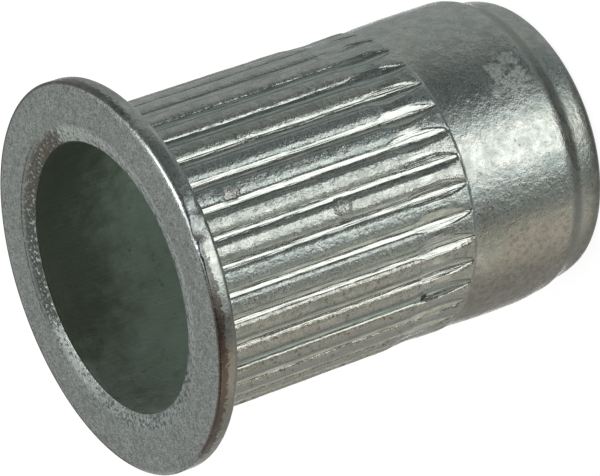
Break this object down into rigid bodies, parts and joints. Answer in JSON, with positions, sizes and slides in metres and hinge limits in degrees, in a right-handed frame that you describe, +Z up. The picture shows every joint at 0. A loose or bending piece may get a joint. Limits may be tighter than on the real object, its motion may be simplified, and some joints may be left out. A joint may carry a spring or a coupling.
{
  "type": "rivet nut",
  "caption": "Flat-head blind rivet nut with a knurled thin-walled shank and an open threaded end, set in a sheet hole to give it a nut where the back can't be reached.",
  "frame": {"origin": "centre of the end face that it stands on, on the axis, at the threaded end", "axes": "+Z up the axis, from the threaded end to the flange, against the way the nut goes into the sheet; +X runs through the middle of one knurl groove"},
  "size_m": [0.0138, 0.0138, 0.0173],
  "materials": {
    "zinc_plated_steel": "bright zinc plate over cold-formed steel, satin, with fine pitting and light handling marks"
  },
  "bodies": {
    "root": {"rivet_nut": "zinc_plated_steel"}
  },
  "joints": []
}
